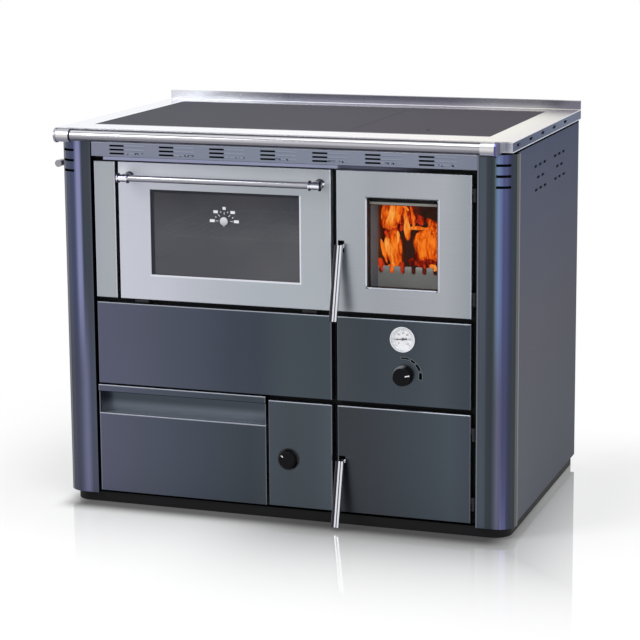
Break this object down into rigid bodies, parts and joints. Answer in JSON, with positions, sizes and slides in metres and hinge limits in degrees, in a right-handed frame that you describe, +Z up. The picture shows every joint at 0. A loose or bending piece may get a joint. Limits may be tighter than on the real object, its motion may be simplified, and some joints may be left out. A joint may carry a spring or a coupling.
{
  "type": "hydronic wood stove",
  "caption": "Free-standing wood cooker with water jacket, glazed oven and fire doors, ash door, wood drawer, hob plates, towel rail, flue spigot and heating connections.",
  "frame": {"origin": "centre of the base on the floor, halfway between the door plane and the back panel", "axes": "+X to the right seen from the front, +Y from the front to the back, +Z up"},
  "size_m": [1.058, 0.7704, 0.8715],
  "materials": {
    "brushed_stainless": "brushed",
    "polished_stainless": "polished",
    "graphite_paint": "satin metallic",
    "black_paint": "matt",
    "enamel": "gloss enamel",
    "cast_iron": "ground",
    "boiler_steel": "primed",
    "zinc_steel": "zinc plated",
    "black_plastic": "satin",
    "dark_glass": "tinted",
    "clear_glass": "clear"
  },
  "bodies": {
    "stove": {"plinth": "black_paint", "base_pan": "black_paint", "front_frame": "black_paint", "column_left": "graphite_paint", "column_right": "graphite_paint", "side_panel_left": "graphite_paint", "side_panel_right": "graphite_paint", "back_panel": "graphite_paint", "hob_supports": "black_paint", "hob_frame": "polished_stainless", "cooking_plate_left": "cast_iron", "cooking_plate_right": "cast_iron", "towel_rail": "polished_stainless", "rail_sleeves": "polished_stainless", "rail_brackets": "polished_stainless", "vent_fascia": "brushed_stainless", "filler_strip": "brushed_stainless", "cleaning_cover": "graphite_paint", "control_panel": "graphite_paint", "air_panel": "graphite_paint", "air_escutcheon": "black_plastic", "drawer_runners": "black_paint", "oven_box": "enamel", "oven_rack": "zinc_steel", "flue_box": "black_paint", "flue_spigot": "black_paint", "boiler_jacket": "boiler_steel", "ash_chamber": "black_paint", "grate": "cast_iron", "log_guard": "cast_iron", "ash_pan": "black_paint", "water_stubs": "zinc_steel", "thermometer_case": "polished_stainless", "thermometer_lens": "clear_glass", "draught_regulator": "zinc_steel", "hinge_pins": "zinc_steel", "door_strikes": "zinc_steel"},
    "oven_door": {"oven_door_panel": "brushed_stainless", "oven_door_liner": "black_paint", "oven_door_glass": "dark_glass", "oven_door_hinges": "zinc_steel", "oven_handle": "polished_stainless"},
    "oven_gauge": {"oven_gauge": "polished_stainless"},
    "fire_door": {"fire_door_panel": "brushed_stainless", "fire_door_bezel": "polished_stainless", "fire_door_glass": "clear_glass", "fire_door_liner": "black_paint", "fire_door_fittings": "zinc_steel"},
    "fire_latch": {"fire_lift_handle": "polished_stainless"},
    "ash_door": {"ash_door_panel": "graphite_paint", "ash_door_liner": "black_paint", "ash_door_fittings": "zinc_steel"},
    "ash_latch": {"ash_lift_handle": "polished_stainless"},
    "wood_drawer": {"drawer_front": "graphite_paint", "drawer_box": "black_paint"},
    "thermostat": {"thermostat_knob": "black_plastic"},
    "air_valve": {"air_valve": "black_plastic"},
    "air_flap": {"air_flap": "zinc_steel"},
    "damper": {"damper_lever": "polished_stainless"},
    "needle": {"thermometer_needle": "black_plastic"}
  },
  "joints": [
    {"name": "oven_door_hinge", "type": "hinge", "parent": "stove", "child": "oven_door", "pos_m": [0, -0.315, 0.4684], "axis": [1, 0, 0], "range_deg": [0, 90]},
    {"name": "fire_door_hinge", "type": "hinge", "parent": "stove", "child": "fire_door", "pos_m": [0.43225, -0.316, 0.625], "axis": [0, 0, 1], "range_deg": [0, 95]},
    {"name": "fire_latch_pivot", "type": "hinge", "parent": "fire_door", "child": "fire_latch", "pos_m": [0.14, -0.311, 0.614], "axis": [-1, 0, 0], "range_deg": [0, 40]},
    {"name": "ash_door_hinge", "type": "hinge", "parent": "stove", "child": "ash_door", "pos_m": [0.43225, -0.316, 0.14775], "axis": [0, 0, 1], "range_deg": [0, 95]},
    {"name": "ash_latch_pivot", "type": "hinge", "parent": "ash_door", "child": "ash_latch", "pos_m": [0.14, -0.311, 0.142], "axis": [-1, 0, 0], "range_deg": [0, 40]},
    {"name": "wood_drawer_slide", "type": "slide", "parent": "stove", "child": "wood_drawer", "axis": [0, -1, 0], "range_m": [0, 0.38]},
    {"name": "thermostat_turn", "type": "hinge", "parent": "stove", "child": "thermostat", "pos_m": [0.278, -0.32, 0.3425], "axis": [0, 1, 0], "range_deg": [-78, 12]},
    {"name": "air_flap_pivot", "type": "hinge", "parent": "stove", "child": "air_flap", "pos_m": [0.12975, -0.07, 0.208], "axis": [0, 1, 0], "range_deg": [-26, 4]},
    {"name": "air_valve_turn", "type": "hinge", "parent": "stove", "child": "air_valve", "pos_m": [0.0165, -0.32, 0.137], "axis": [0, 1, 0], "range_deg": [0, 60]},
    {"name": "damper_turn", "type": "hinge", "parent": "stove", "child": "damper", "pos_m": [-0.52, -0.19, 0.764], "axis": [1, 0, 0], "range_deg": [0, 75]},
    {"name": "needle_turn", "type": "hinge", "parent": "stove", "child": "needle", "pos_m": [0.278, -0.323, 0.422], "axis": [0, 1, 0], "range_deg": [-39, 231]},
    {"name": "oven_gauge_turn", "type": "hinge", "parent": "oven_door", "child": "oven_gauge", "pos_m": [-0.12625, -0.32, 0.656], "axis": [0, 1, 0], "range_deg": [0, 270]}
  ],
  "couplings": [
    {"joint": "air_flap_pivot", "follows": "thermostat_turn", "ratio": 0.33333}
  ]
}
